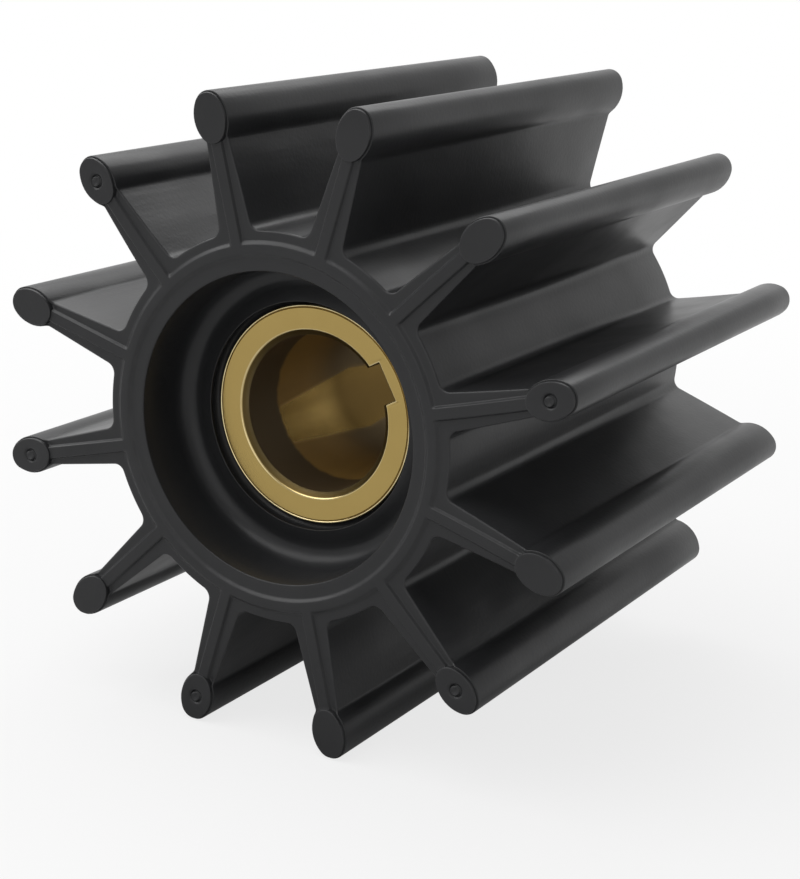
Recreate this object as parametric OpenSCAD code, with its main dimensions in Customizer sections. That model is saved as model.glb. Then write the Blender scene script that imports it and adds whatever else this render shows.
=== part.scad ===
// Flexible rubber impeller with straight radial vanes, moulded round a keyed brass insert.
// Millimetres. The shaft runs along Y, the front end faces -Y, and the origin is the middle
// of the shaft axis. The impeller lies on the tips of two neighbouring vanes, as it would on
// a bench, so that +Z is up.

/* [Overall] */
// Diameter over the tips of the vanes
tip_d = 105; // [98:0.5:118]
// Length over the end pads of the vanes
overall_len = 88.9; // [78:0.1:110]

/* [Hub] */
// Diameter of the hub at the floor of the pockets between the vanes
hub_d = 61.6; // [59:0.2:66]
// Diameter of the round recess in each end of the hub
recess_d = 48.6; // [46:0.2:51]
// Depth of the recess at its wall, from the end pads
recess_depth = 12; // [8:0.1:14]
// Radius in the corner between the wall and the floor of the recess
recess_fillet = 2; // [1:0.1:3]
// Radius that rounds the mouth of the recess
mouth_round = 0.5; // [0.2:0.1:0.9]
// Height by which the recess floor rises from its wall to the lip round the insert
lip_rise = 1.3; // [0.4:0.1:2]
// Width of the bevel between the lip and the side of the insert
lip_bevel = 0.65; // [0.3:0.05:1]

/* [Vanes] */
// Number of vanes
vane_count = 12; // [8:1:12]
// Thickness of a vane where it leaves the hub
vane_root_t = 6.1; // [5:0.1:7]
// Thickness of a vane at the neck under its tip bead
vane_neck_t = 4.1; // [3:0.1:4.6]
// Radius of the fillet between a vane and the hub
root_fillet = 1.7; // [0.8:0.1:2.2]
// Radius of the fillet between a vane and its tip bead
neck_fillet = 1.5; // [0.8:0.1:3]

/* [Tip beads] */
// Size of the oval bead along the radius
bead_h = 8.4; // [7.4:0.1:9.6]
// Size of the oval bead across the vane
bead_w = 6.2; // [5.6:0.1:7]
// Radius of the two ends of the oval
bead_end_r = 2.6; // [2.2:0.1:2.7]

/* [End relief] */
// Height of the oval pad on each bead end above the shoulders of the vanes
pad_h = 0.9; // [0.5:0.1:1.5]
// Step from the outline of the bead in to the outline of its pad
pad_inset = 0.25; // [0.1:0.05:0.5]
// Height of the ribs and the ring above the same shoulders
ridge_h = 0.5; // [0.3:0.1:0.8]
// Width of the rib along each vane and of the ring round the recess
ridge_w = 2; // [1.4:0.1:2.4]
// Diameter of the middle of the ring
ring_d = 56; // [54.6:0.2:57]

/* [Moulding marks] */
// Diameter of the dimple in the middle of some front pads
dimple_d = 2; // [1.5:0.1:3]
// Depth of the dimple
dimple_depth = 0.6; // [0.3:0.1:0.8]
// Diameter of the pip that stands in the dimple
pip_d = 1.1; // [0.7:0.1:1.3]
// Height of the pip above the floor of the dimple
pip_h = 0.5; // [0.2:0.1:0.6]

/* [Brass insert] */
// Outside diameter of the insert, which is also the bore of the rubber
insert_d = 35.4; // [34:0.1:37]
// Length of the insert
insert_len = 64.3; // [56:0.1:70]
// Diameter of the shaft bore
bore_d = 25.4; // [23:0.1:27]
// Width of the keyway
key_w = 6.35; // [4:0.05:8]
// Depth of the keyway below the top of the bore
key_depth = 2.4; // [1.6:0.1:3]
// Chamfer at each end of the bore
bore_chamfer = 0.9; // [0.4:0.1:1.2]
// Chamfer round the outside of each end of the insert
edge_chamfer = 0.4; // [0.2:0.1:0.6]

/* [Hidden] */
$fn = 96;

// Room to cut or join cleanly past a face
past = 1;
// Blend arcs reach this far into what they touch, so that they cross it and leave no sliver
bite = 0.002;
pitch = 360 / vane_count;
// The first vane stands half a pitch from +X, so two tips share the weight below
first_vane = pitch / 2;
// The keyway lies midway between the first two vanes
key_angle = pitch;
// Vanes whose front pads carry a dimple, counted from the first one
dimpled = [0, 4, 6, 8, 10];

hub_r = hub_d / 2;
tip_r = tip_d / 2;
ring_r = ring_d / 2;
recess_r = recess_d / 2;
insert_r = insert_d / 2;
bore_r = bore_d / 2;
half_len = overall_len / 2;
shoulder_z = half_len - pad_h;
insert_depth = half_len - insert_len / 2;

// A bead is an oval of four arcs: two end arcs and two long side arcs
bead_a = bead_h / 2;
bead_b = bead_w / 2;
bead_r = tip_r - bead_a;
function side_r(a, b, e) = (pow(a - e, 2) + pow(b, 2) - pow(e, 2)) / (2 * (b - e));

// The flank of a vane leans in towards the vane's middle plane by flank_lean
neck_r = bead_r - bead_a / 1.5;
flank_k = (vane_root_t - vane_neck_t) / 2 / (neck_r - hub_r);
flank_lean = atan(flank_k);
function half_t(r) = vane_root_t / 2 - flank_k * (r - hub_r);
function off_flank(c, r) = c - r * [sin(flank_lean), cos(flank_lean)];

// Centre of the root fillet, touching the hub and the flank
root_angle = asin((root_fillet + (vane_root_t / 2 + flank_k * hub_r) * cos(flank_lean))
                  / (hub_r + root_fillet)) - flank_lean;
root_c = (hub_r + root_fillet) * [cos(root_angle), sin(root_angle)];

// Centre of the neck fillet, touching the flank and the side arc of the bead
bead_side = side_r(bead_a, bead_b, bead_end_r);
side_c = [bead_r, bead_b - bead_side];
neck_rise = half_t(bead_r) + neck_fillet / cos(flank_lean) - side_c[1];
neck_reach = bead_side + neck_fillet;
neck_dx = (flank_k * neck_rise
           - sqrt(pow(flank_k * neck_rise, 2)
                  - (1 + pow(flank_k, 2)) * (pow(neck_rise, 2) - pow(neck_reach, 2))))
          / (1 + pow(flank_k, 2));
neck_c = side_c + [neck_dx, neck_rise - flank_k * neck_dx];

module each_vane() {
    for (i = [0 : vane_count - 1]) rotate(first_vane + i * pitch) children();
}

module both_ends() {
    for (side = [0, 1]) mirror([0, 0, side]) children();
}

// Oval outline of a bead, drawn in by inset
module oval(inset) {
    a = bead_a - inset;
    b = bead_b - inset;
    e = bead_end_r - inset;
    s = side_r(a, b, e);
    meet_x = (a - e) * s / (s - e);
    translate([bead_r, 0]) {
        for (side = [-1, 1]) translate([side * (a - e), 0]) circle(e);
        intersection() {
            translate([0, b - s]) circle(s - bite, $fn = 4 * $fn);
            translate([0, s - b]) circle(s - bite, $fn = 4 * $fn);
            square([2 * meet_x, 2 * b], center = true);
        }
    }
}

// Corner piece between the hub and one flank, with its concave arc
module root_corner() {
    difference() {
        polygon([[hub_r - past, 0], (hub_r - past) * [cos(root_angle), sin(root_angle)], root_c,
                 off_flank(root_c, root_fillet + past)]);
        translate(root_c) circle(root_fillet + bite);
    }
}

// Corner piece between one flank and the bead, with its concave arc
module neck_corner() {
    difference() {
        polygon([[bead_r, 0], [neck_c[0], 0], off_flank(neck_c, neck_fillet + past), neck_c,
                 neck_c + (side_c - neck_c) * (neck_fillet + past) / neck_reach]);
        translate(neck_c) circle(neck_fillet + 2 * bite);
    }
}

// Outline of one vane with its bead, lying along +X
module vane_outline() {
    in = hub_r - 2 * past;
    polygon([[in, half_t(in)], [bead_r, half_t(bead_r)], [bead_r, -half_t(bead_r)], [in, -half_t(in)]]);
    oval(0);
    for (side = [0, 1]) mirror([0, side]) {
        root_corner();
        neck_corner();
    }
}

module hub_and_vanes() {
    translate([0, 0, -shoulder_z]) linear_extrude(2 * shoulder_z) {
        circle(hub_r);
        each_vane() vane_outline();
    }
}

// Raised pads on the bead ends, and the lower ribs and ring that join them
module end_relief() {
    translate([0, 0, shoulder_z - past]) {
        each_vane() linear_extrude(past + pad_h) oval(pad_inset);
        linear_extrude(past + ridge_h) {
            difference() {
                circle(ring_r + ridge_w / 2);
                circle(ring_r - ridge_w / 2);
            }
            each_vane() translate([ring_r, -ridge_w / 2]) square([bead_r - ring_r, ridge_w]);
        }
    }
}

// Half profile of the recess: X is the radius, Y the depth below the end pads
module recess_profile() {
    floor_r = recess_r - recess_fillet;
    corner = recess_depth - recess_fillet;
    difference() {
        polygon([[0, -past], [recess_r + mouth_round, -past], [recess_r + mouth_round, pad_h + mouth_round],
                 [recess_r, pad_h + mouth_round], [recess_r, recess_depth], [floor_r, recess_depth],
                 [insert_r + lip_bevel, recess_depth - lip_rise], [insert_r, insert_depth],
                 [0, insert_depth]]);
        translate([recess_r + mouth_round, pad_h + mouth_round]) circle(mouth_round);
        difference() {
            translate([floor_r, corner]) square(recess_fillet + past);
            translate([floor_r, corner]) circle(recess_fillet);
        }
    }
}

module recess() {
    translate([0, 0, half_len]) mirror([0, 0, 1]) rotate_extrude() recess_profile();
}

module dimple() {
    translate([bead_r, 0, half_len - dimple_depth]) difference() {
        cylinder(h = dimple_depth + past, d = dimple_d);
        translate([0, 0, -past]) cylinder(h = pip_h + past, d = pip_d);
    }
}

module rubber_body() {
    color([0.15, 0.15, 0.16]) rotate([90, 0, 0]) difference() {
        union() {
            hub_and_vanes();
            both_ends() end_relief();
        }
        both_ends() recess();
        cylinder(h = insert_len, d = insert_d, center = true);
        for (i = dimpled) if (i < vane_count) rotate(first_vane + i * pitch) dimple();
    }
}

// Half profile of the insert's wall: X is the radius, Y the place along the shaft
module insert_profile() {
    end = insert_len / 2;
    polygon([[bore_r, bore_chamfer - end], [bore_r + bore_chamfer, -end], [insert_r - edge_chamfer, -end],
             [insert_r, edge_chamfer - end], [insert_r, end - edge_chamfer], [insert_r - edge_chamfer, end],
             [bore_r + bore_chamfer, end], [bore_r, end - bore_chamfer]]);
}

module brass_insert() {
    color([0.78, 0.62, 0.3]) rotate([90, 0, 0]) difference() {
        rotate_extrude() insert_profile();
        rotate(key_angle) translate([0, -key_w / 2, -insert_len / 2 - past])
            cube([bore_r + key_depth, key_w, insert_len + 2 * past]);
    }
}

rubber_body();
brass_insert();
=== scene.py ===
# %% [markdown]
# # A rubber pump impeller
#
# The real thing is two pieces. A brass insert is turned, bored and keyed, then laid in a mould,
# and black rubber is pressed round it: a hub with straight vanes, and an oval bead along each tip.
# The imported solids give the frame, so nothing here is moved or scaled by eye. Both pieces are
# built again as finer surfaces that keep the solids' form and add the soft edges of a moulding.

import bmesh
import bpy
import numpy as np
from mathutils import Matrix, Vector


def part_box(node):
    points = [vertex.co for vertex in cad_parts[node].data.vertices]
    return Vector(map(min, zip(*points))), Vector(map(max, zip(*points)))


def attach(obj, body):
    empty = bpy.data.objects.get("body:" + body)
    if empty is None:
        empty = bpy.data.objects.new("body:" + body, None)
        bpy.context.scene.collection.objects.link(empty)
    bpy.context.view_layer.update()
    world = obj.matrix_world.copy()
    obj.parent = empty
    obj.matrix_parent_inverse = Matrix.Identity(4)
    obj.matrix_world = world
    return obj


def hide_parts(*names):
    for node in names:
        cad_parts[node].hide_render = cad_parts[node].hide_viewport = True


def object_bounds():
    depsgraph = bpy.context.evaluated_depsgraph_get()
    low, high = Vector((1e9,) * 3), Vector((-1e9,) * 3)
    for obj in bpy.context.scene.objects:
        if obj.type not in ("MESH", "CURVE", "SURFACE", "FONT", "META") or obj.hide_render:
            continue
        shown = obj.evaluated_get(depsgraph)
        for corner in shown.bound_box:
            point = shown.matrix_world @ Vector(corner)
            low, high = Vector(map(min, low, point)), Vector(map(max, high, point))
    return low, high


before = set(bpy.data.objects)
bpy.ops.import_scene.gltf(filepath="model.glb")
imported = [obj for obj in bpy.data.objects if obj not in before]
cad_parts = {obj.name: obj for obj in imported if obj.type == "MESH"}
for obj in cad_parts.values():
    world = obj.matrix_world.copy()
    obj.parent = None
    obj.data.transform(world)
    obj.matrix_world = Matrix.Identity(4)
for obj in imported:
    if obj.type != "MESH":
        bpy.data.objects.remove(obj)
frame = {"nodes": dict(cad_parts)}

cad_low, cad_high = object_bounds()
print("nodes:", ", ".join(frame["nodes"]), "- box in mm:",
      [round((high - low) * 1000, 1) for low, high in zip(cad_low, cad_high)])

# %% [markdown]
# ## The camera
#
# The camera comes first, because every later choice is judged through it. Its place and its three
# axes were found by fitting the bead ends, near and far, to the photograph. A camera's matrix has its
# right, up and backward directions as columns. The shift is small: the photograph was cropped a
# little, so its true centre lies above the middle of the frame.

# %% Camera
# In pixels of the photograph: its height, the focal length, and how far its true centre lies up
FRAME_HIGH = 879
FOCAL_PX = 2070.6
CENTRE_UP_PX = 59.5
SENSOR = 36

camera_data = bpy.data.cameras.new("camera")
camera_data.sensor_width = SENSOR
camera_data.lens = FOCAL_PX * SENSOR / FRAME_HIGH
camera_data.shift_y = -CENTRE_UP_PX / FRAME_HIGH
camera_data.clip_start = 0.01
camera = bpy.data.objects.new("camera", camera_data)
bpy.context.collection.objects.link(camera)
bpy.context.scene.camera = camera

camera_right = Vector((0.866415, 0.497069, 0.047376))
camera_up = Vector((-0.162312, 0.190645, 0.968145))
camera_back = camera_right.cross(camera_up)
camera_place = Vector((0.16535, -0.3008, 0.08632))
camera.matrix_world = Matrix.Translation(camera_place) @ Matrix(
    (camera_right, camera_up, camera_back)).transposed().to_4x4()
print("lens", round(camera_data.lens, 2), "mm at", round(camera_place.length * 1000), "mm")

# %% [markdown]
# ## Sizes
#
# Lengths along the shaft are read from the frame. The rest are the sizes of the moulding, in
# millimetres, so that they can be compared with a drawing. One sector is modelled lying along +X,
# with u as the radius along the vane, v across it and h the height along the shaft from the
# middle, and then it is turned twelve times about the shaft.

# %% Sizes in millimetres
MM = 0.001
VANES = 12
# Angles in degrees from X towards Z. The keyway lies midway between the first two vanes.
PITCH = 360 / VANES
FIRST_VANE = PITCH / 2
KEY_ANGLE = PITCH
# Vanes whose front pad has a dish
DIMPLED = [0, 4, 6, 8, 10]

rubber_low, rubber_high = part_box("rubber_body")
insert_low, insert_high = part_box("brass_insert")
half_len = (rubber_high[1] - rubber_low[1]) / 2 / MM
insert_half = (insert_high[1] - insert_low[1]) / 2 / MM
insert_r = (insert_high[0] - insert_low[0]) / 2 / MM

# The hub is measured at the floor of the pockets, and the pads stand on the shoulders of the vanes
tip_r = 52.5
hub_r = 30.8
pad_h = 0.9
shoulder = half_len - pad_h
print(f"half length {half_len:.2f}, shoulder {shoulder:.2f}, insert {insert_half:.2f} x {insert_r:.2f}")

# %% [markdown]
# ## The outline of a vane
#
# Half of a vane's outline is seven stretches that touch each other smoothly: the end arc and the
# side arc of the bead, the fillet at its neck, the leaning flank in two parts, the fillet at the
# root and a piece of the hub's circle. It could be drawn as a spline, but arcs keep the radii a
# mould maker would cut. Each point also carries its outward normal, so that any line parallel to
# the outline is the point less a distance along the normal.

# %% Outline of half a vane
# The bead's oval: half its size along the radius, half its width, and the radius of its ends
bead_a, bead_b, bead_end = 4.2, 3.1, 2.6
bead_r = tip_r - bead_a
# Half the vane's thickness at the hub and at the neck, and the fillets at both
root_half, neck_half = 3.05, 2.05
root_fillet, neck_fillet = 1.7, 1.5
neck_r = bead_r - bead_a / 1.5
# Radius of the straight row of points where the vane's flat end gives way to the pad
vane_end_r = 43.0

bead_side = ((bead_a - bead_end) ** 2 + bead_b ** 2 - bead_end ** 2) / (2 * (bead_b - bead_end))
tip_centre = np.array([bead_r + bead_a - bead_end, 0.0])
side_centre = np.array([bead_r, bead_b - bead_side])
inner_centre = np.array([bead_r - bead_a + bead_end, 0.0])
taper = (root_half - neck_half) / (neck_r - hub_r)
lean = np.arctan(taper)
flank_normal = np.array([np.sin(lean), np.cos(lean)])


def half_thickness(u):
    """Half the thickness of a vane: it falls in a straight line from the hub to the neck."""
    return root_half - taper * (u - hub_r)


def bearing(vector):
    """Direction of a flat vector, in degrees from the u axis."""
    return np.degrees(np.arctan2(vector[1], vector[0]))


root_turn = np.arcsin((root_fillet + half_thickness(0) * np.cos(lean)) / (hub_r + root_fillet)) - lean
root_centre = (hub_r + root_fillet) * np.array([np.cos(root_turn), np.sin(root_turn)])

# The neck fillet's centre lies off the flank by its radius, and off the bead's side arc by both radii
rise = half_thickness(bead_r) + neck_fillet / np.cos(lean) - side_centre[1]
reach = bead_side + neck_fillet
inward = taper * rise - np.sqrt((taper * rise) ** 2 - (1 + taper ** 2) * (rise ** 2 - reach ** 2))
inward /= 1 + taper ** 2
neck_centre = side_centre + np.array([inward, rise - taper * inward])

MEET = bearing(tip_centre - side_centre)
NECK = bearing(neck_centre - side_centre)
ROOT = np.degrees(root_turn)
FLANK = bearing(-flank_normal)


def arc(centre, radius, start, end, steps, hollow=False):
    """Rows of (u, v, normal u, normal v) at centre + radius * (cos a, sin a), a from start to end.

    On a hollow arc the material is outside the circle, so the normal points at the centre.
    """
    a = np.radians(np.linspace(start, end, steps + 1))
    ring = np.stack([np.cos(a), np.sin(a)], axis=-1)
    return np.hstack([centre + radius * ring, -ring if hollow else ring])


def straight(start, end, steps):
    """Rows of (u, v, normal u, normal v) on the flank, evenly spaced from start to end."""
    t = np.linspace(0, 1, steps + 1)[:, None]
    return np.hstack([start + t * (end - start), np.tile(flank_normal, (steps + 1, 1))])


tip_arc = arc(tip_centre, bead_end, 0, MEET, 9)
side_arc = arc(side_centre, bead_side, MEET, NECK, 9)
neck_arc = arc(neck_centre, neck_fillet, NECK - 180, FLANK, 5, hollow=True)
root_arc = arc(root_centre, root_fillet, FLANK, ROOT - 180, 7, hollow=True)
hub_arc = arc(np.zeros(2), hub_r, ROOT, PITCH / 2, 5)
corner = np.array([vane_end_r, half_thickness(vane_end_r)])
flank_out = straight(neck_arc[-1, :2], corner, 2)
flank_in = straight(corner, root_arc[0, :2], 7)

stretches = [tip_arc, side_arc, neck_arc, flank_out, flank_in, root_arc, hub_arc]
outline = np.vstack([stretches[0]] + [stretch[1:] for stretch in stretches[1:]])
ends = np.cumsum([len(stretches[0]) - 1] + [len(stretch) - 1 for stretch in stretches[1:]])
BEAD_END, NECK_END, CORNER, ROOT_END = ends[[1, 2, 3, 5]]
print("outline points in half a sector:", len(outline), "- neck at", outline[NECK_END, :2].round(2))

# %% [markdown]
# ## Soft edges and ridges
#
# A mould never gives a knife edge, so the rim of every end face is rounded, finely on the beads
# and more on the vanes and the hub. The ribs and the ring that stand on the end faces are one
# raised band. Its height depends only on the distance to the edge of the band, so ribs and ring
# run into each other with small hollow corners, as they do where a round cutter made the mould.
# The ring is rounder than the ribs. Edges rub paler with handling and are painted paler still, as
# highlights, so each patch also says how far a point is a rubbed edge with a painted highlight, from
# 0 to 1. The bead's own end stands a little higher than the vane's, so only a low step shows round a
# pad.

# %% Edge radius and the height of the ridges
bead_edge, vane_edge = 0.15, 0.34
bead_rise = 0.38
ridge_h, ridge_half, ring_r = 0.5, 1.0, 28.0
# Width of the slope at the edges of the ribs and of the ring, and reach of the hollow corners
ridge_slope, ring_slope = 0.42, 0.85
corner_soft = 0.45
pad_inset = 0.25
# Lines of the mesh over the slope at an edge, as places outwards from that edge
RIDGE_STEPS = np.array([-0.3, -0.19, -0.12, -0.06, 0, 0.06, 0.12, 0.19, 0.3])
RING_STEPS = np.array([-0.45, -0.33, -0.22, -0.11, 0, 0.11, 0.22, 0.33, 0.45])
# Share of rubbed edge and painted highlight on the ridges, and the painted highlight added on the ring's
# inner edge
RIDGE_RUB_AND_HIGHLIGHT, RING_INNER_HIGHLIGHT = 0.25, 0.3


def smooth(t):
    """0 below 0, 1 above 1, and 3 t^2 - 2 t^3 between."""
    t = np.clip(t, 0, 1)
    return t * t * (3 - 2 * t)


neck_way = np.linspace(0, 1, NECK_END - BEAD_END + 1)
edge = np.full(len(outline), vane_edge)
edge[:BEAD_END + 1] = bead_edge
edge[BEAD_END:NECK_END + 1] = bead_edge + (vane_edge - bead_edge) * smooth(neck_way)
raised = bead_rise * (vane_edge - edge) / (vane_edge - bead_edge)
rim = outline[:, :2] - edge[:, None] * outline[:, 2:]


def ridge_height(u, v):
    """Height of ribs and ring over the shoulders.

    a is how far the point lies outside the rib, which ends under the pad, and b outside the ring.
    Their soft minimum is turned into a height that falls from ridge_h to 0 over the width of the
    slope, centred on the edge. The ring is rounder than the ribs, so its slope is wider.
    """
    radius = np.hypot(u, v)
    a = np.maximum(np.maximum(np.abs(v) - ridge_half, ring_r - radius), u - bead_r)
    b = np.abs(radius - ring_r) - ridge_half
    mix = np.clip(0.5 + (b - a) / (2 * corner_soft), 0, 1)
    nearest = b + (a - b) * mix - corner_soft * mix * (1 - mix)
    return ridge_h * smooth(0.5 - nearest / (ring_slope + (ridge_slope - ring_slope) * mix))


def ridge_wear_and_highlight(height, radius):
    """Share of rubbing and painted highlight on a ridge: RIDGE_RUB_AND_HIGHLIGHT * 4 t (1 - t), where t is
    the height over ridge_h.

    The inner edge of the ring gets RING_INNER_HIGHLIGHT more than the rest, as a painted highlight.
    """
    t = height / ridge_h
    return 4 * t * (1 - t) * (RIDGE_RUB_AND_HIGHLIGHT + RING_INNER_HIGHLIGHT * smooth(ring_r + ridge_half / 2 - radius))


print("rim points:", len(rim), "- rib height", ridge_height(np.array([36.0]), np.array([0.0])))

# %% [markdown]
# ## The end face as patches of one sector
#
# One large flat face with raised bands would need a very dense mesh. Patches that follow the
# features stay light: a fan over the hub, a strip along the vane, and rings round the pad. The
# lines of the strip lie parallel to the rib, so its edge stays straight. Neighbouring patches
# share their border points exactly, and a merge by distance closes the seams later.

# %% Hub patch and vane patch
mouth_r, mouth_round = 24.8, 0.25
SIDE_STEPS = 3
# Circles beside the mouth and the rim keep the flat between them and the ring flat
mouth_margin, rim_margin = 0.7, 0.6
# Lines along the rib: its middle, one beside it and the slope at its edge
beside_middle = 0.4
rib_lines = np.hstack([0, beside_middle, ridge_half + RIDGE_STEPS])


def across(edge_v):
    """Places across a vane: the fixed lines of the rib, then SIDE_STEPS even steps out to edge_v."""
    edge_v = np.asarray(edge_v, dtype=float)
    outer = np.linspace(0, 1, SIDE_STEPS + 1)[1:]
    fixed = np.broadcast_to(rib_lines, edge_v.shape + rib_lines.shape)
    rest = rib_lines[-1] + (edge_v[..., None] - rib_lines[-1]) * outer
    return np.concatenate([fixed, rest], axis=-1)


def both_sides(half):
    """Mirrors places v from 0 outwards to the other side, as one row from -v to +v."""
    return np.concatenate([-half[..., :0:-1], half], axis=-1)


def hub_patch():
    """u and v on circles from the mouth of the recess to the hub's rim.

    On each circle the lines of the vane keep their v, so the angle is asin(v / r). Beyond the
    root of the vane the lines are rays.
    """
    rim_r = hub_r - vane_edge
    radii = np.hstack([mouth_r, mouth_r + mouth_margin, ring_r - ridge_half + RING_STEPS, ring_r,
                       ring_r + ridge_half + RING_STEPS, rim_r - rim_margin, rim_r])
    half = across(rim_r * np.sin(root_turn)) / rim_r
    angle = np.arcsin(half * rim_r / radii[:, None])
    last = len(rib_lines)
    rays = np.arcsin(half[last - 1:])
    share = (rays - rays[0]) / (rays[-1] - rays[0])
    angle[:, last - 1:] = angle[:, last - 1:last] + (rays[-1] - angle[:, last - 1:last]) * share
    pocket = np.radians(np.linspace(ROOT, PITCH / 2, len(hub_arc)))[1:]
    angle = both_sides(np.hstack([angle, np.broadcast_to(pocket, (len(radii), len(pocket)))]))
    return radii[:, None] * np.cos(angle), radii[:, None] * np.sin(angle)


def vane_patch(hub_u, hub_v):
    """u and v on rows across the vane, from the hub patch's outer row to the straight row at CORNER.

    Each row starts and ends on the rim. It bulges as u = middle + (edge - middle) * (v / edge v)^2.
    """
    skip = len(hub_arc) - 1
    side = rim[CORNER:ROOT_END + 1][::-1]
    v = both_sides(across(side[:, 1]))
    start = hub_r - vane_edge
    middle = start + (side[:, 0] - side[0, 0]) * (side[-1, 0] - start) / (side[-1, 0] - side[0, 0])
    u = middle[:, None] + (side[:, :1] - middle[:, None]) * (v / side[:, 1:]) ** 2
    u[0], v[0] = hub_u[-1, skip:-skip], hub_v[-1, skip:-skip]
    return u, v


hub_u, hub_v = hub_patch()
vane_u, vane_v = vane_patch(hub_u, hub_v)
print("hub patch", hub_u.shape, "vane patch", vane_u.shape)

# %% [markdown]
# ## The pad on the bead
#
# The end of each bead carries an oval pad, a little smaller than the bead. It is drawn by the
# direction of its normal: at every angle the point is the centre of the arc there plus the arc's
# radius, less the inset, along that direction. A profile of inset and height then carries the
# oval up the pad's side, over its rounded edge and in to the middle. Some pads have a shallow dish
# with a small pip, left where the rubber was fed into the mould. The pips all lean one way, as they
# were bent when the part was pulled out, and their tops are torn to two low points.

# %% Pad patch
# Rows of the pad's side: inset of the oval, share of the height, share of rubbed edge and painted highlight
PAD_SIDE = np.array([(0.235, -0.03, 0), (0.25, 0, 0), (0.262, 0.12, 0), (0.275, 0.55, 0.1),
                     (0.285, 0.76, 0.3), (0.31, 0.89, 0.45), (0.36, 0.975, 0.45), (0.43, 1, 0.2),
                     (0.6, 1, 0)])
# Rows of the dish and its pip: radius, height, share of the lean, share of the torn top
DISH = np.array([(1.45, 0, 0, 0), (1.32, -0.015, 0, 0), (1.15, -0.12, 0, 0), (1.02, -0.25, 0, 0),
                 (0.93, -0.34, 0, 0), (0.87, -0.39, 0.05, 0), (0.83, -0.4, 0.2, 0), (0.8, -0.28, 0.6, 0),
                 (0.76, -0.15, 0.9, 0.3), (0.7, -0.1, 1, 0.7), (0.6, -0.09, 1, 1), (0.4, -0.12, 1, 0.6),
                 (0.2, -0.145, 1, 0.2), (0, -0.155, 1, 0)])
PIP_LEAN, PIP_LEAN_ANGLE = 0.24, 207
TORN, TORN_ANGLE = 0.085, 120
LEDGE_STEPS = 3
# The pad's angle that faces the vane's corner lies this share of the way back towards the neck's
NECK_SHARE = 0.4


def oval(angle, inset):
    """Point of the bead's outline, drawn in by inset, where the normal has that angle in degrees."""
    turned = np.abs(angle)
    centre = np.where((turned < MEET)[..., None], tip_centre,
                      np.where((turned > 180 - MEET)[..., None], inner_centre, side_centre))
    radius = np.where((turned < MEET) | (turned > 180 - MEET), bead_end, bead_side) - inset
    ring = np.stack([np.cos(np.radians(turned)), np.sin(np.radians(turned))], axis=-1)
    point = centre + radius[..., None] * ring
    return point * np.stack([np.ones_like(point[..., 0]), np.where(angle < 0, -1, 1)], axis=-1)


def pad_angles():
    """Angles round the pad that face the points of the rim and of the vane's end row.

    Round the bead they are those of the outline. At the neck they go on evenly, and below the
    rib they are the ones at which the pad has the same v as the rib's lines.
    """
    bead = np.hstack([np.linspace(0, MEET, len(tip_arc)), np.linspace(MEET, NECK, len(side_arc))[1:]])
    end_row = vane_v[-1, vane_v.shape[1] // 2:]
    facing = 180 - np.degrees(np.arcsin(end_row[:len(rib_lines)] / (bead_end - pad_inset)))
    corner_angle = NECK_SHARE * NECK + (1 - NECK_SHARE) * facing[-1]
    neck = np.linspace(NECK, corner_angle, CORNER - BEAD_END + 1)[1:]
    rest = np.linspace(facing[-1], corner_angle, len(end_row) - len(rib_lines) + 1)[1:]
    half = np.hstack([bead, neck, rest[::-1][1:], facing[::-1]])
    return np.hstack([half, -half[-2::-1]])


def pad_patch(vane=None):
    """u, v, height over the shoulder, and share of rubbing and painted highlight, from the rim and the
    vane's end row to the pad's middle.

    With the number of a vane, the pad gets a dish, and its pip leans by PIP_LEAN. The pip's top
    rises and falls by TORN * cos(2 (a - TORN_ANGLE)), where a is the direction seen from the front.
    """
    angles = pad_angles()
    end_half = vane_v.shape[1] // 2
    end_row = np.stack([vane_u[-1, end_half:], vane_v[-1, end_half:]], axis=-1)
    upper = np.vstack([rim[:CORNER + 1], end_row[::-1][1:]])
    outer = np.vstack([upper, upper[-2::-1] * [1, -1]])
    foot = oval(angles, PAD_SIDE[0, 0])
    t = np.linspace(0, 1, LEDGE_STEPS + 1)[:-1, None, None]
    ledge = outer + (foot - outer) * t
    lift = np.hstack([raised[:CORNER + 1], np.zeros(len(end_row) - 1)])
    lift = np.hstack([lift, lift[-2::-1]])
    ledge_h = ridge_height(ledge[..., 0], ledge[..., 1]) + lift
    side = np.array([oval(angles, inset) for inset in PAD_SIDE[:, 0]])
    base = ridge_height(side[..., 0], side[..., 1]) + lift
    side_h = base + (pad_h - base) * PAD_SIDE[:, 1:2]
    ring = np.stack([np.cos(np.radians(angles)), np.sin(np.radians(angles))], axis=-1)
    profile = DISH[[0, -1]] * [1, 0, 0, 0] if vane is None else DISH
    turn = FIRST_VANE + PITCH * (vane or 0)
    lean_to = np.radians(PIP_LEAN_ANGLE - turn)
    middle = [bead_r, 0] + profile[:, :1, None] * ring
    middle = middle + PIP_LEAN * profile[:, 2, None, None] * [np.cos(lean_to), np.sin(lean_to)]
    torn = profile[:, 3:] * np.cos(2 * np.radians(angles + turn - TORN_ANGLE))
    middle_h = pad_h + profile[:, 1:2] + TORN * torn
    flat = side[-1] + (middle[0] - side[-1]) / 2
    flat_h = np.full((1, len(angles)), pad_h)
    points = np.concatenate([ledge, side, flat[None], middle])
    height = np.concatenate([ledge_h, side_h, flat_h, middle_h])
    # The pad's rounded rim and the pip's torn top are paler, partly rubbed and partly a painted highlight
    rubbed_and_highlit = np.hstack([np.zeros(len(ledge)), PAD_SIDE[:, 2], 0])[:, None]
    wear_and_highlight = np.vstack([np.broadcast_to(rubbed_and_highlit, (len(rubbed_and_highlit), len(angles))), np.clip(torn, 0, 1)])
    return points[..., 0], points[..., 1], shoulder + height, wear_and_highlight


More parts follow.
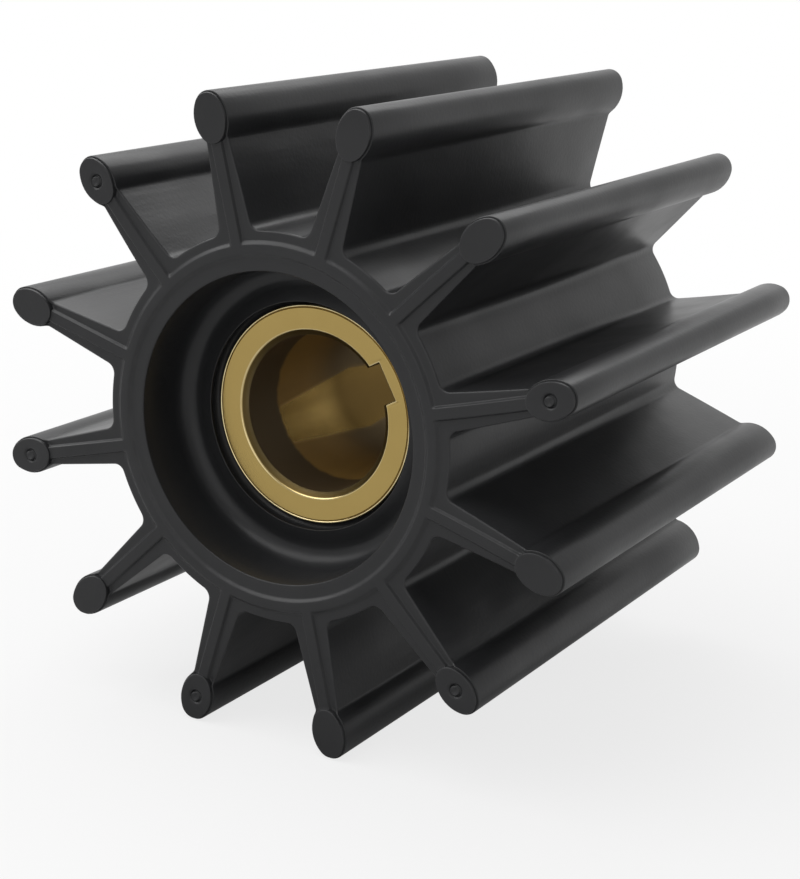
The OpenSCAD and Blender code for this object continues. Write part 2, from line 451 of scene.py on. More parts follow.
print("pad patch", pad_patch()[0].shape, "with a dish", pad_patch(0)[0].shape)

# %% [markdown]
# ## The side walls and the recess
#
# The outer wall is the outline carried along the shaft, with a quarter circle at each end that
# meets the rim of the end face. The recess in each end is turned about the shaft: a rounded
# mouth, a straight wall, a fillet, and a floor that rises to a soft lip round the insert. The lip
# ends over a narrow groove, where the rubber draws back from the brass as it cools, so a dark line
# shows round the insert. The recess takes its angles from the hub patch, so that both have the same
# points on the mouth.

# %% Wall patch and recess patch
recess_depth, recess_fillet = 12.0, 3.0
lip_rise, lip_bevel, lip_round = 1.3, 0.65, 0.16
# The lip overhangs a dark groove round the insert: rows of radius past the insert, height over its face
GROOVE = np.array([(0.72, 1.25), (0.92, 0.7), (1.0, 0.1), (0.7, -0.6), (0, -0.8)])
EDGE_STEPS, MOUTH_STEPS, FILLET_STEPS, LIP_STEPS, STRAIGHT_STEPS = 4, 5, 7, 4, 3
WALL_ROWS = 5
# Share of rubbed edge and painted highlight on the rims of the beads and of the vanes, and on the lip
BEAD_RUB_AND_HIGHLIGHT, VANE_RUB_AND_HIGHLIGHT, LIP_RUB_AND_HIGHLIGHT = 0.15, 0.5, 0.5


def wall_patch():
    """u, v, h and share of rubbing and painted highlight of the wall of one sector, from the front rim to
    the back rim.

    The rounded edge is off = r (1 - sin a), drop = r (1 - cos a), with a from 0 to 90 degrees.
    """
    loop = np.vstack([outline[::-1] * [1, -1, 1, -1], outline[1:]])
    radius = np.hstack([edge[::-1], edge[1:]])
    lift = np.hstack([raised[::-1], raised[1:]])
    a = np.radians(np.linspace(0, 90, EDGE_STEPS + 1))[:, None]
    off, drop = radius * (1 - np.sin(a)), radius * (1 - np.cos(a))
    top = shoulder + lift - drop
    middle = np.linspace(1, -1, WALL_ROWS + 2)[1:-1, None] * top[-1]
    h = np.vstack([top, middle, -top[::-1]])
    off = np.vstack([off, np.zeros_like(middle), off[::-1]])
    point = loop[:, :2] - off[..., None] * loop[:, 2:]
    rubbed_and_highlit = np.sin(2 * a) * np.interp(radius, [bead_edge, vane_edge], [BEAD_RUB_AND_HIGHLIGHT, VANE_RUB_AND_HIGHLIGHT])
    wear_and_highlight = np.vstack([rubbed_and_highlit, np.zeros_like(middle), rubbed_and_highlit[::-1]])
    return point[..., 0], point[..., 1], h, wear_and_highlight


def recess_profile():
    """Radius, height and share of rubbing and painted highlight from the mouth of the recess to the insert,
    then along it to the middle.

    The lip's edge runs from A on the floor to B in the groove, and the sharp corner P pulls it out:
    (1 - t)^2 A + 2 t (1 - t) P + t^2 B.
    """
    wall_r = mouth_r - mouth_round
    floor_h = half_len - recess_depth
    mouth = arc(np.array([mouth_r, shoulder - mouth_round]), mouth_round, 90, 180, MOUTH_STEPS)[:, :2]
    fillet_centre = np.array([wall_r, floor_h]) + recess_fillet * np.array([-1, 1])
    fillet = arc(fillet_centre, recess_fillet, 0, -90, FILLET_STEPS)[:, :2]
    wall = np.linspace(mouth[-1], fillet[0], STRAIGHT_STEPS + 1)[1:-1]
    lip = np.array([insert_r + lip_bevel, floor_h + lip_rise])
    slope = (lip - fillet[-1]) / np.linalg.norm(lip - fillet[-1])
    groove = np.array([insert_r, insert_half]) + GROOVE
    down = (groove[0] - lip) / np.linalg.norm(groove[0] - lip)
    t = np.linspace(0, 1, LIP_STEPS + 1)[:, None]
    before, after = lip - slope * lip_round, lip + down * lip_round
    soft_lip = (1 - t) ** 2 * before + 2 * t * (1 - t) * lip + t ** 2 * after
    floor = np.linspace(fillet[-1], soft_lip[0], STRAIGHT_STEPS + 1)[1:-1]
    line = np.vstack([mouth, wall, fillet, floor, soft_lip, groove, [[insert_r, 0]]])
    wear_and_highlight = np.zeros((len(line), 1))
    first_lip = len(mouth) + len(wall) + len(fillet) + len(floor)
    wear_and_highlight[first_lip + 1:first_lip + LIP_STEPS] = LIP_RUB_AND_HIGHLIGHT
    return np.hstack([line, wear_and_highlight])


def recess_patch():
    """u, v, h and share of rubbing and painted highlight of one sector's recess: the profile turned to the
    angles of the hub patch.
    """
    angle = np.arctan2(hub_v[0], hub_u[0])
    radius, height, wear_and_highlight = recess_profile().T[:, :, None]
    u, v = radius * np.cos(angle), radius * np.sin(angle)
    return u, v, np.broadcast_to(height, u.shape), np.broadcast_to(wear_and_highlight, u.shape)


print("wall patch", wall_patch()[0].shape, "recess patch", recess_patch()[0].shape)

# %% [markdown]
# ## From patches to one closed piece
#
# Each patch is turned to every vane, and mirrored for the back end. Local u, v and h become X, Z
# and -Y, because the shaft runs along Y and the front faces -Y. Rubber is never quite true, so a
# few vanes are bent by a fraction of a millimetre, as the photograph shows, and some of them more at
# one end than at the other, which gives them a slight twist. All patches go into one mesh, points
# that coincide are merged, and the normals are turned outwards. Afterwards no edge may have anything
# but two faces, or the piece isn't closed.

# %% Turning patches into a mesh
# How far each tip stands off its place round the shaft, at its front end and at its back end
BENDS = np.array([(0.3, 0.5), (-0.15, 0.05), (0, -0.25), (0.15, 0), (-0.55, -0.4), (0, 0),
                  (0, 0.1), (0, 0), (0, 0), (0, 0), (0.25, 0.1), (-0.45, -0.25)])
MERGE_WITHIN = 0.002
print("largest bend:", np.abs(BENDS).max(), "mm")


def turned(patch, vanes, back=False):
    """Points (vane, row, column, x y z and share of rubbing and painted highlight) of a patch (u, v, h and
    that share), turned to each vane.

    A bent vane moves sideways by bend * s^2 (3 - s) / 2, where s goes from 0 at the hub to 1 at the
    bead, as a strip held at one end does.
    """
    u, v, h, wear_and_highlight = patch
    a = np.radians(FIRST_VANE + PITCH * np.asarray(vanes))[:, None, None]
    s = np.clip((u - hub_r) / (bead_r - hub_r), 0, None)
    y = h if back else -h
    front_bend, back_bend = BENDS[np.asarray(vanes, dtype=int)].T[:, :, None, None]
    bend = front_bend + (back_bend - front_bend) * (y + half_len) / (2 * half_len)
    v = v + bend * s ** 2 * (3 - s) / 2
    x, z = u * np.cos(a) - v * np.sin(a), u * np.sin(a) + v * np.cos(a)
    y = np.broadcast_to(y, x.shape)
    return np.stack([x, y, z, np.broadcast_to(wear_and_highlight, x.shape)], axis=-1)


def grid_faces(shape, first):
    """Four corner numbers for each cell of (patch, row, column) grids whose first point is first."""
    n = first + np.arange(np.prod(shape)).reshape(shape)
    return np.stack([n[:, :-1, :-1], n[:, 1:, :-1], n[:, 1:, 1:], n[:, :-1, 1:]], axis=-1).reshape(-1, 4)


def piece_from(name, grids, replaces):
    """One closed object from (patch, row, column, x y z and share of rubbing and painted highlight) grids
    in millimetres.
    """
    faces, first = [], 0
    for grid in grids:
        faces.append(grid_faces(grid.shape[:3], first))
        first += grid[..., 0].size
    points = np.vstack([grid.reshape(-1, 4) for grid in grids])
    mesh = bpy.data.meshes.new(name)
    mesh.from_pydata((points[:, :3] * MM).tolist(), [], np.vstack(faces).tolist())
    mesh.attributes.new("wear_and_highlight", "FLOAT", "POINT").data.foreach_set("value", points[:, 3].astype(np.float32))
    body = bmesh.new()
    body.from_mesh(mesh)
    bmesh.ops.remove_doubles(body, verts=body.verts, dist=MERGE_WITHIN * MM)
    bmesh.ops.recalc_face_normals(body, faces=body.faces)
    open_edges = sum(len(border.link_faces) != 2 for border in body.edges)
    body.to_mesh(mesh)
    body.free()
    mesh.shade_smooth()
    piece = bpy.data.objects.new(name, mesh)
    bpy.context.collection.objects.link(piece)
    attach(piece, "root")
    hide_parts(replaces)
    triangles = sum(len(face.vertices) - 2 for face in mesh.polygons)
    print(name, "triangles:", triangles, "open edges:", open_edges)
    return piece


# %% The rubber body
all_vanes = np.arange(VANES)
plain_front = [vane for vane in all_vanes if vane not in DIMPLED]
hub_ridge, vane_ridge = ridge_height(hub_u, hub_v), ridge_height(vane_u, vane_v)
hub_top = (hub_u, hub_v, shoulder + hub_ridge, ridge_wear_and_highlight(hub_ridge, np.hypot(hub_u, hub_v)))
vane_top = (vane_u, vane_v, shoulder + vane_ridge, ridge_wear_and_highlight(vane_ridge, np.hypot(vane_u, vane_v)))

rubber_grids = [turned(wall_patch(), all_vanes)]
for back in (False, True):
    rubber_grids += [turned(patch, all_vanes, back) for patch in (hub_top, vane_top, recess_patch())]
rubber_grids.append(turned(pad_patch(), all_vanes, back=True))
rubber_grids.append(turned(pad_patch(), plain_front))
rubber_grids += [turned(pad_patch(vane), [vane]) for vane in DIMPLED]
rubber = piece_from("rubber_body_skin", rubber_grids, "rubber_body")

# %% [markdown]
# ## The brass insert
#
# The insert is a turned ring with a keyway cut through it. Its inner line is a circle that runs
# out into the keyway and back, and that line is carried down the bore with a radius that follows
# the chamfer. The keyway keeps its width and depth all the way, so the chamfer stops at its walls
# as it does on the real one. The outer line is a circle with the same number of points. The lathe
# left a fine groove near the edge of the face, and the metal outside it is rolled over and
# burnished. It and the edge of the bore are painted paler still, as a highlight.

# %% Insert sizes and lines
# Radius of the bore, half the keyway's width and its depth below the bore
bore_r, key_half, key_depth = 12.7, 3.175, 2.4
ROUND_STEPS, KEY_WALL_STEPS, KEY_FLOOR_STEPS = 220, 6, 12


def inner_line(radius, grow):
    """u and v of the bore and keyway: a circle of that radius, with the keyway wider by grow.

    It starts in the middle of the keyway's floor, runs up one wall, round the bore and back.
    """
    half, floor = key_half + grow, bore_r + key_depth + grow
    start = np.arcsin(half / radius)
    a = np.linspace(start, 2 * np.pi - start, ROUND_STEPS + 1)
    circle = radius * np.stack([np.cos(a), np.sin(a)], axis=-1)
    wall = np.linspace([floor, half], circle[0], KEY_WALL_STEPS + 1)[:-1]
    floor_half = np.linspace([floor, 0], [floor, half], KEY_FLOOR_STEPS + 1)[:-1]
    first = np.vstack([floor_half, wall])
    return np.vstack([first, circle, first[::-1] * [1, -1]])


def outer_line(radius):
    """u and v of a circle whose points face those of the inner line."""
    inner = inner_line(bore_r, 0)
    a = np.arctan2(inner[:, 1], inner[:, 0])
    return radius * np.stack([np.cos(a), np.sin(a)], axis=-1)


print("points round the insert:", len(inner_line(bore_r, 0)))

# %% The brass insert
# Rows from the insert's side to its face: step in from the outer radius, drop below the face, share of
# burnished edge and painted highlight
ROLLED_RIM = [(0, 0.4, 0), (0.012, 0.28, 0.6), (0.06, 0.15, 1), (0.15, 0.06, 1), (0.25, 0.05, 1),
              (0.34, 0.1, 0.8), (0.39, 0.18, 0.2), (0.42, 0.26, 0), (0.455, 0.2, 0), (0.485, 0.08, 0),
              (0.53, 0.02, 0.3), (0.58, 0, 0), (0.65, 0, 0)]
# How far the face falls from its rim to the bore
DISHED = 0.15
# Rows from the face down the chamfer: growth of the bore's radius, of the keyway, drop, share of burnished
# edge and painted highlight
BORE_RIM = [(1.22, 0.34, 0, 0), (1.15, 0.27, 0, 0.1), (1.09, 0.21, 0.008, 0.5), (1.02, 0.14, 0.03, 0.6),
            (0.95, 0.08, 0.07, 0.5), (0.89, 0.04, 0.115, 0.3), (0.83, 0.01, 0.175, 0),
            (0.55, 0, 0.42, 0), (0.06, 0, 0.89, 0.1), (0.01, 0, 0.96, 0), (0, 0, 1.05, 0)]
FACE_STEPS, BORE_ROWS = 7, 6
# Where the even rows of the bore start, below the insert's end
BORE_START = 1.6


def insert_rows():
    """(line, height, share of burnishing and painted highlight) from the middle of the side, over the front
    face, to the middle of the bore.

    The face falls by DISHED from its rim to the bore, as a facing cut often leaves it.
    """
    top = insert_half
    rows = [(outer_line(insert_r), h, 0) for h in (0, top / 2)]
    rows += [(outer_line(insert_r - step), top - drop, wear_and_highlight) for step, drop, wear_and_highlight in ROLLED_RIM]
    rim_line, inner = rows[-1][0], inner_line(bore_r + BORE_RIM[0][0], BORE_RIM[0][1])
    rows += [(rim_line + (inner - rim_line) * t, top - DISHED * t, 0)
             for t in np.linspace(0, 1, FACE_STEPS + 1)[1:-1]]
    rows += [(inner_line(bore_r + grow, key_grow), top - DISHED - drop, wear_and_highlight)
             for grow, key_grow, drop, wear_and_highlight in BORE_RIM]
    rows += [(inner_line(bore_r, 0), h, 0) for h in np.linspace(top - BORE_START, 0, BORE_ROWS)]
    return rows


def insert_half_patch():
    """The rows as one patch (u, v, h and the share of burnishing and painted highlight)."""
    lines, heights, wear_and_highlight = zip(*insert_rows())
    points = np.array(lines)
    shape = points.shape[:2]
    heights, wear_and_highlight = (np.broadcast_to(np.array(row)[:, None], shape) for row in (heights, wear_and_highlight))
    return points[..., 0], points[..., 1], heights, wear_and_highlight


# Half a step past the first vane. The insert lies inside the hub, so no bend reaches it.
key_turn = [(KEY_ANGLE - FIRST_VANE) / PITCH]
insert_grids = [turned(insert_half_patch(), key_turn, back) for back in (False, True)]
insert = piece_from("brass_insert_skin", insert_grids, "brass_insert")

# %% [markdown]
# ## The finish of the rubber
#
# Moulded rubber is nearly black, but it isn't dull: the mould leaves a satin skin with soft
# reflections, faintly clouded. Slow waves and marks drawn along the shaft come from the mould, and a
# fine grain from the rubber. They are bumps, because they are far finer than the mesh. Where the
# surfaces store a rubbed edge, the skin is paler, partly from handling and partly as a painted
# highlight.
#
# Both finishes are worked out from the object's own coordinates, so they need no pictures and stay
# sharp up close. They could be painted by hand, but a rule of the place keeps the grain even all
# round. The helpers each add one or two nodes and give back the result for the next one. A share
# is a value from 0 to 1 that tells how much of something a point has.

# %% Material of the rubber


def new_material(name):
    """A material with its node tree, its Principled shader and the object's own coordinates."""
    material = bpy.data.materials.new(name)
    material.use_nodes = True
    tree = material.node_tree
    coordinates = tree.nodes.new("ShaderNodeTexCoord")
    return material, tree, tree.nodes["Principled BSDF"], coordinates.outputs["Object"]


rubber_material, tree, shader, place = new_material("moulded_rubber")
shader.inputs["Specular IOR Level"].default_value = 0.25
print("the rubber starts with", len(tree.nodes), "nodes")

# %% Patterns on the rubber


def feed(tree, socket, value):
    """Links a socket to another one, or gives it a number or a colour of its own."""
    if isinstance(value, bpy.types.NodeSocket):
        tree.links.new(value, socket)
    else:
        socket.default_value = value


def noise(tree, vector, scale, detail, stretch=(1, 1, 1)):
    """Noise from 0 to 1 with that many grains to a metre, drawn out along an axis by stretch."""
    mapping = tree.nodes.new("ShaderNodeMapping")
    mapping.inputs["Scale"].default_value = stretch
    tree.links.new(vector, mapping.inputs["Vector"])
    node = tree.nodes.new("ShaderNodeTexNoise")
    node.inputs["Scale"].default_value = scale
    node.inputs["Detail"].default_value = detail
    tree.links.new(mapping.outputs["Vector"], node.inputs["Vector"])
    return node.outputs["Fac"]


def spread(tree, value, low, high, start=0.3, end=0.7):
    """Maps a value from the range start to end onto low to high, with a soft start and end."""
    node = tree.nodes.new("ShaderNodeMapRange")
    node.interpolation_type = "SMOOTHSTEP"
    for name, number in (("From Min", start), ("From Max", end), ("To Min", low), ("To Max", high)):
        node.inputs[name].default_value = number
    tree.links.new(value, node.inputs["Value"])
    return node.outputs["Result"]


def math_node(tree, operation, first, second=0):
    """first and second put together by a Math node. Each is a socket or a number."""
    node = tree.nodes.new("ShaderNodeMath")
    node.operation = operation
    feed(tree, node.inputs[0], first)
    feed(tree, node.inputs[1], second)
    return node.outputs["Value"]


def times(tree, first, second):
    """first times second."""
    return math_node(tree, "MULTIPLY", first, second)


def worn_and_highlit(tree, breaks, least):
    """The mesh's share of rubbing and painted highlight, broken up by a noise down to the share least."""
    node = tree.nodes.new("ShaderNodeAttribute")
    node.attribute_name = "wear_and_highlight"
    return times(tree, node.outputs["Fac"], spread(tree, breaks, least, 1))


clouds = noise(tree, place, scale=60, detail=4)
waves = noise(tree, place, scale=90, detail=2, stretch=(1, 0.35, 1))
drawn = noise(tree, place, scale=350, detail=3, stretch=(1, 0.05, 1))
grain = noise(tree, place, scale=1500, detail=2)
# Rubbed edges, whose paler skin is partly a painted highlight
rubbed_and_highlit = worn_and_highlit(tree, noise(tree, place, scale=400, detail=2), least=0.45)
print("nodes with the patterns:", len(tree.nodes))

# %% Colours and bumps of the rubber
SKIN_DARK, SKIN_PALE = (0.0108, 0.011, 0.0117), (0.0208, 0.0211, 0.022)
# The paler skin of rubbed edges is partly a painted highlight
RUBBED_HIGHLIGHT_COLOUR = (0.034, 0.034, 0.035)
SATIN, DULL_SATIN = 0.31, 0.4
WAVE_DEPTH, DRAWN_DEPTH, GRAIN_DEPTH = 0.3, 0.04, 0.02


def blend_colours(tree, factor, first, second):
    """A colour between first and second by factor. Each is a socket or three numbers."""
    node = tree.nodes.new("ShaderNodeMix")
    node.data_type = "RGBA"
    tree.links.new(factor, node.inputs["Factor"])
    for name, colour in (("A", first), ("B", second)):
        socket = next(socket for socket in node.inputs if socket.name == name and socket.type == "RGBA")
        feed(tree, socket, (*colour, 1) if isinstance(colour, tuple) else colour)
    return next(socket for socket in node.outputs if socket.type == "RGBA")


def bump(tree, height, depth, before=None):
    """Bump of that depth in millimetres, on top of another bump."""
    node = tree.nodes.new("ShaderNodeBump")
    node.inputs["Distance"].default_value = depth * MM
    tree.links.new(height, node.inputs["Height"])
    if before is not None:
        tree.links.new(before, node.inputs["Normal"])
    return node.outputs["Normal"]


skin = blend_colours(tree, clouds, SKIN_DARK, SKIN_PALE)
tree.links.new(blend_colours(tree, rubbed_and_highlit, skin, RUBBED_HIGHLIGHT_COLOUR), shader.inputs["Base Color"])
tree.links.new(spread(tree, clouds, SATIN, DULL_SATIN), shader.inputs["Roughness"])
normal = bump(tree, drawn, DRAWN_DEPTH, bump(tree, waves, WAVE_DEPTH))
tree.links.new(bump(tree, grain, GRAIN_DEPTH, normal), shader.inputs["Normal"])
rubber.data.materials.append(rubber_material)
print("nodes of the rubber:", len(tree.nodes))

# %% [markdown]
# ## The finish of the brass
#
# The face of the insert is clean brass, which takes its colour from its reflections, and fine rings
# from the lathe spread the highlights. The bore has turned brown with age under a thin film. A band
# below each face is painted darker, as shade, and so is the film towards the middle of the bore. On
# the side that lies below, a painted reflection makes it paler, in a wedge that opens inwards from
# the front. The chamfer is duller, and its colour is painted darker, as shade. Film and metal could
# be two materials, but their borders are soft and ragged, so one material works out from the place
# how much of each a point has. The film hides the metal in part, so it is less metallic than the
# face, and so is the black residue of the bonding agent on the outside, which also stands as painted
# shade in the gap round the insert.

# %% Where the film and the residue lie
# Ranges in millimetres over which a share goes from 0 to 1: off the shaft's axis, up from the
# middle towards the face, down from the face, and in from the front end
OUTSIDE = (16, 16.5)
CLEAN_RIM = (insert_half - 0.45, insert_half - 0.2)
# DULLED_AND_SHADED covers the chamfer, which is also painted darker as shade, and past PAST_SHADE_BAND the
# band of painted shade below each face ends
DULLED_AND_SHADED, AGED, PAST_SHADE_BAND = (0.08, 0.25), (0.8, 1.1), (9.4, 10.6)
DEEP = (17, 29)
RAGGED = 1.2


def rest(tree, share):
    """What is left of a share: 1 less the share."""
    return math_node(tree, "SUBTRACT", 1, share)


def reached(tree, length, millimetres):
    """Share that rises from 0 to 1 while a length in metres passes a range in millimetres."""
    return spread(tree, length, 0, 1, millimetres[0] * MM, millimetres[1] * MM)


brass_material, tree, shader, place = new_material("turned_brass")
axes = tree.nodes.new("ShaderNodeSeparateXYZ")
tree.links.new(place, axes.inputs["Vector"])
x, y, z = (axes.outputs[name] for name in "XYZ")
off_shaft = math_node(tree, "SQRT", math_node(tree, "ADD", times(tree, x, x), times(tree, z, z)))
from_middle = math_node(tree, "ABSOLUTE", y)
from_front = math_node(tree, "ADD", insert_half * MM, y)
depth = math_node(tree, "SUBTRACT", (insert_half - DISHED) * MM, from_middle)

outside = reached(tree, off_shaft, OUTSIDE)
inside = rest(tree, outside)
# Black bonding residue on the outside, which also paints shade into the gap round the insert
bonded_and_shaded = times(tree, outside, rest(tree, reached(tree, from_middle, CLEAN_RIM)))
# The chamfer is rougher, and its colour is painted darker as shade
dulled_and_shaded = times(tree, inside, reached(tree, depth, DULLED_AND_SHADED))
aged = times(tree, inside, reached(tree, depth, AGED))
ragged = times(tree, noise(tree, place, scale=500, detail=3), RAGGED * MM)
# The band of painted shade below each face ends at a ragged line
past_shade_band = reached(tree, math_node(tree, "ADD", depth, ragged), PAST_SHADE_BAND)
# Further in from the front end the film is painted darker, as shade, and the painted reflection fades
deep_shade = reached(tree, from_front, DEEP)
print("nodes that place the film:", len(tree.nodes))

# %% Where the reflection is painted
# The wedge of painted reflection in degrees: its middle from X towards Z, half its width at the face,
# and how much that grows with each millimetre of depth. Its border is soft over a range in radians.
REFLECTION_ANGLE, REFLECTION_HALF, REFLECTION_GROWTH = -152.5, 10, 0.5
REFLECTION_BORDER = (-0.04, 0.03)


def against(tree, operation, vector, fixed):
    """A Vector Math node's number: DOT_PRODUCT with a fixed direction, or DISTANCE from a fixed point."""
    node = tree.nodes.new("ShaderNodeVectorMath")
    node.operation = operation
    node.inputs[1].default_value = fixed
    tree.links.new(vector, node.inputs[0])
    return node.outputs["Value"]


def crosswise(angle):
    """Unit direction across the shaft at that angle from X towards Z."""
    return np.cos(np.radians(angle)), 0, np.sin(np.radians(angle))


toward, aside = (against(tree, "DOT_PRODUCT", place, crosswise(REFLECTION_ANGLE + turn)) for turn in (0, 90))
off_wedge = math_node(tree, "ARCTAN2", math_node(tree, "ABSOLUTE", aside), toward)
growth = times(tree, depth, np.radians(REFLECTION_GROWTH) / MM)
half_width = math_node(tree, "ADD", growth, np.radians(REFLECTION_HALF))
wedge = spread(tree, math_node(tree, "SUBTRACT", off_wedge, half_width), 1, 0, *REFLECTION_BORDER)
painted_reflection = times(tree, wedge, past_shade_band)
print("nodes with the wedge:", len(tree.nodes))

# %% Colours of the brass
FACE_DARK, FACE_PALE = (0.325, 0.23, 0.077), (0.39, 0.285, 0.1)
# Brown film, and DEEP_SHADE_BROWN where it is painted darker as shade towards the middle of the bore
BROWN_DARK, BROWN_PALE, DEEP_SHADE_BROWN = (0.28, 0.168, 0.048), (0.4, 0.24, 0.068), (0.1, 0.06, 0.018)
# Colours of the painted reflection in the wedge
REFLECTION_DARK, REFLECTION_PALE = (0.5, 0.34, 0.11), (0.82, 0.6, 0.22)
# Painted shade: SHADE_BAND_COLOUR in the band below each face, and DULLED_SHADE_COLOUR on the chamfer,
# which is also rougher
SHADE_BAND_COLOUR, DULLED_SHADE_COLOUR = (0.09, 0.064, 0.036), (0.11, 0.076, 0.028)
# BURNISHED_HIGHLIGHT_COLOUR is partly a painted highlight; RESIDUE_SHADE_COLOUR is partly painted shade in
# the gap round the insert
BURNISHED_HIGHLIGHT_COLOUR, RESIDUE_SHADE_COLOUR = (0.7, 0.6, 0.36), (0.01, 0.01, 0.01)

shader.inputs["Specular Tint"].default_value = (1.0, 0.8, 0.45, 1)
dull = noise(tree, place, scale=120, detail=4)
streaks = noise(tree, place, scale=240, detail=3, stretch=(1, 0.06, 1))
lines = noise(tree, place, scale=700, detail=3, stretch=(1, 0.04, 1))
# Burnished edges of the brass, paler partly as a painted highlight
burnished_and_highlit = worn_and_highlit(tree, noise(tree, place, scale=350, detail=2), least=0.6)

brown = blend_colours(tree, streaks, BROWN_DARK, BROWN_PALE)
brown = blend_colours(tree, deep_shade, brown, DEEP_SHADE_BROWN)
# The painted reflection, streaked along the shaft
reflection_colour = blend_colours(tree, lines, REFLECTION_DARK, REFLECTION_PALE)
film = blend_colours(tree, times(tree, painted_reflection, rest(tree, deep_shade)), brown, reflection_colour)
film = blend_colours(tree, past_shade_band, SHADE_BAND_COLOUR, film)
colour = blend_colours(tree, dull, FACE_DARK, FACE_PALE)
layers = (dulled_and_shaded, DULLED_SHADE_COLOUR), (aged, film), (burnished_and_highlit, BURNISHED_HIGHLIGHT_COLOUR), (bonded_and_shaded, RESIDUE_SHADE_COLOUR)
for share, layer in layers:
    colour = blend_colours(tree, share, colour, layer)
tree.links.new(colour, shader.inputs["Base Color"])
print("nodes with the colours:", len(tree.nodes))

# %% Shine and tool marks of the brass
POLISHED, FACED = 0.15, 0.21
MARK_DEPTH, MARK_WOBBLE = 0.002, 1.5


def changed(tree, value, changes):
    """value plus each share times its change."""
    for share, change in changes:
        value = math_node(tree, "ADD", value, times(tree, share, change))
    return value


def tool_marks(tree, place, kind, scale):
    """Fine even waves left by the tool, as RINGS round the shaft or BANDS along it."""
    node = tree.nodes.new("ShaderNodeTexWave")
    node.wave_type = kind
    node.rings_direction = node.bands_direction = "Y"
    node.inputs["Scale"].default_value = scale
    node.inputs["Distortion"].default_value = MARK_WOBBLE
    tree.links.new(place, node.inputs["Vector"])
    return node.outputs["Fac"]


# Film and residue hide the metal, and where the reflection is painted the bore is made more metallic and
# smoother again
metallic = changed(tree, 1, ((painted_reflection, 0.4), (aged, -0.6), (bonded_and_shaded, -0.9)))
rough = changed(tree, spread(tree, dull, POLISHED, FACED), ((dulled_and_shaded, 0.3), (painted_reflection, -0.24)))
tree.links.new(metallic, shader.inputs["Metallic"])
tree.links.new(rough, shader.inputs["Roughness"])

normal = bump(tree, tool_marks(tree, place, "RINGS", scale=1500), MARK_DEPTH)
normal = bump(tree, tool_marks(tree, place, "BANDS", scale=1200), MARK_DEPTH, normal)
tree.links.new(normal, shader.inputs["Normal"])
insert.data.materials.append(brass_material)
print("nodes of the brass:", len(tree.nodes))

# %% [markdown]
# ## The floor
#
# The part lies on pale paper that runs out of the picture. Paper alone would look grey, so rays that
# come straight from the camera see it glow nearly white, and a little less near the part, which
# leaves a soft shadow. Shiny surfaces see the same white paper, but darker close to the part, where
# the part shades it. The light that the paper throws back at the part is that of plain grey paper.

# %% Floor
FLOOR_HALF = 6.0
PAPER = (0.46, 0.46, 0.46, 1)
# How white the paper looks: near share, far share, and the two distances in metres
TO_CAMERA, IN_MIRRORS = (0.78, 1, 0.06, 0.4), (0.1, 1, 0.05, 0.42)
# Middle of the part's shade on the paper
SHADE_X, SHADE_Y = -0.06, 0.06

floor_z = cad_low[2]
corners = [(x * FLOOR_HALF, y * FLOOR_HALF, floor_z) for x, y in ((-1, -1), (1, -1), (1, 1), (-1, 1))]
floor_mesh = bpy.data.meshes.new("floor")
floor_mesh.from_pydata(corners, [], [(0, 1, 2, 3)])
floor = bpy.data.objects.new("floor", floor_mesh)
bpy.context.collection.objects.link(floor)

floor_material = bpy.data.materials.new("floor")
floor_material.use_nodes = True
tree = floor_material.node_tree
tree.nodes.clear()
paper = tree.nodes.new("ShaderNodeBsdfDiffuse")
paper.inputs["Color"].default_value = PAPER
glow = tree.nodes.new("ShaderNodeEmission")
glow.inputs["Strength"].default_value = 1.0
mixer = tree.nodes.new("ShaderNodeMixShader")
output = tree.nodes.new("ShaderNodeOutputMaterial")
place = tree.nodes.new("ShaderNodeTexCoord").outputs["Object"]
rays = tree.nodes.new("ShaderNodeLightPath")
from_part = against(tree, "DISTANCE", place, (0, 0, floor_z))
from_shade = against(tree, "DISTANCE", place, (SHADE_X, SHADE_Y, floor_z))
to_camera = times(tree, rays.outputs["Is Camera Ray"], spread(tree, from_part, *TO_CAMERA))
in_mirrors = math_node(tree, "MAXIMUM", rays.outputs["Is Glossy Ray"], rays.outputs["Is Transmission Ray"])
in_mirrors = times(tree, in_mirrors, spread(tree, from_shade, *IN_MIRRORS))
tree.links.new(math_node(tree, "ADD", to_camera, in_mirrors), mixer.inputs["Fac"])
tree.links.new(paper.outputs["BSDF"], mixer.inputs[1])
tree.links.new(glow.outputs["Emission"], mixer.inputs[2])
tree.links.new(mixer.outputs["Shader"], output.inputs["Surface"])
floor.data.materials.append(floor_material)
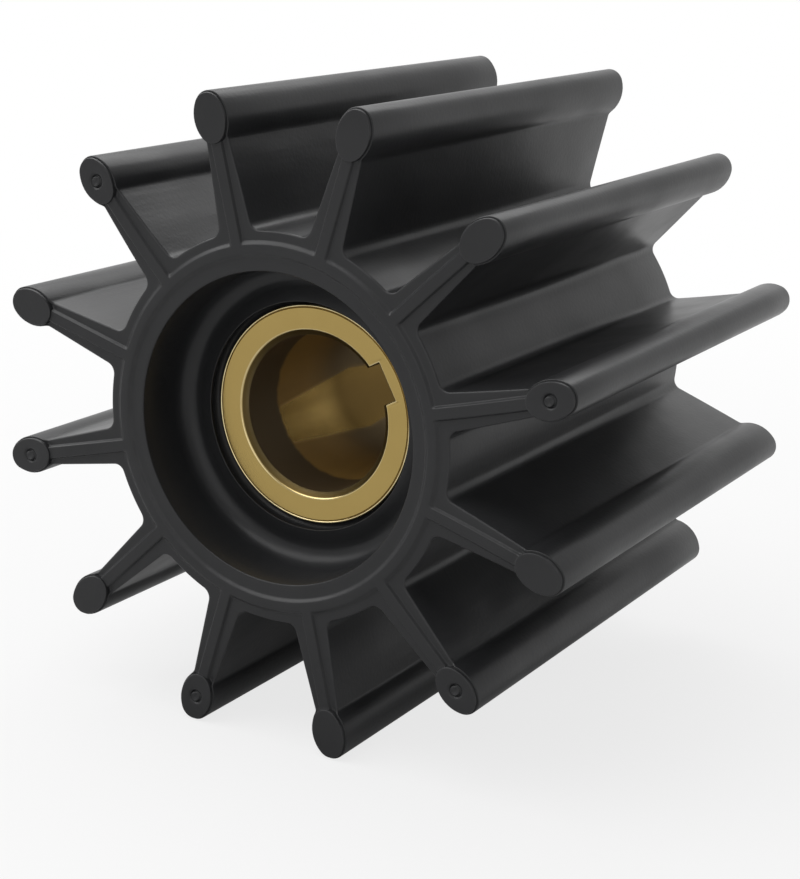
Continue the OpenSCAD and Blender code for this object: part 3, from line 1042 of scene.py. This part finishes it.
print("floor at", round(floor_z / MM, 2), "mm")

# %% [markdown]
# ## The light
#
# The photograph was taken in a light tent: pale walls on every side, a bright roof and a bright
# wall behind. A white world does the work of the walls. It is darker above and on the camera's side,
# where a tent has its opening, and that keeps the edges which face that way dim. One large soft lamp
# hangs overhead, a smaller one stands behind, and a weak one in front lifts the recess.

# %% World
SKY_LIGHT, SKY_DARK = 1.0, 0.54
# Direction of the darkest part, and how far along it a direction lies where the fall starts and ends
DARK_SIDE = Vector((0.38, -0.48, 0.79)).normalized()
FALL_START, FALL_END = -0.45, 0.8

world = bpy.data.worlds.new("tent")
bpy.context.scene.world = world
world.use_nodes = True
tree = world.node_tree
sky = tree.nodes["Background"]
sky.inputs["Color"].default_value = (1, 1, 1, 1)
direction = tree.nodes.new("ShaderNodeTexCoord").outputs["Generated"]
rays = tree.nodes.new("ShaderNodeLightPath")
tent = spread(tree, against(tree, "DOT_PRODUCT", direction, DARK_SIDE), SKY_LIGHT, SKY_DARK,
              FALL_START, FALL_END)
tree.links.new(math_node(tree, "MAXIMUM", rays.outputs["Is Camera Ray"], tent), sky.inputs["Strength"])
print("tent from", SKY_DARK, "to", SKY_LIGHT)

# %% Lamps


def soft_lamp(name, place, wide, high, watts):
    """A rectangular lamp at place that faces the middle of the part. Lengths are in metres."""
    data = bpy.data.lights.new(name, "AREA")
    data.shape = "RECTANGLE"
    data.size, data.size_y = wide, high
    data.energy = watts
    lamp = bpy.data.objects.new(name, data)
    lamp.location = place
    lamp.rotation_euler = (-Vector(place)).to_track_quat("-Z", "Y").to_euler()
    bpy.context.collection.objects.link(lamp)


soft_lamp("overhead", (-0.45, -0.15, 0.75), wide=1.2, high=1.2, watts=14)
soft_lamp("behind", (-0.3, 0.6, 0.8), wide=1.1, high=0.5, watts=4)
soft_lamp("front", (0.2, -0.95, 0.2), wide=0.8, high=0.8, watts=1.6)
bpy.context.scene.view_settings.view_transform = "Standard"
print("lamps:", ", ".join(light.name for light in bpy.data.lights))
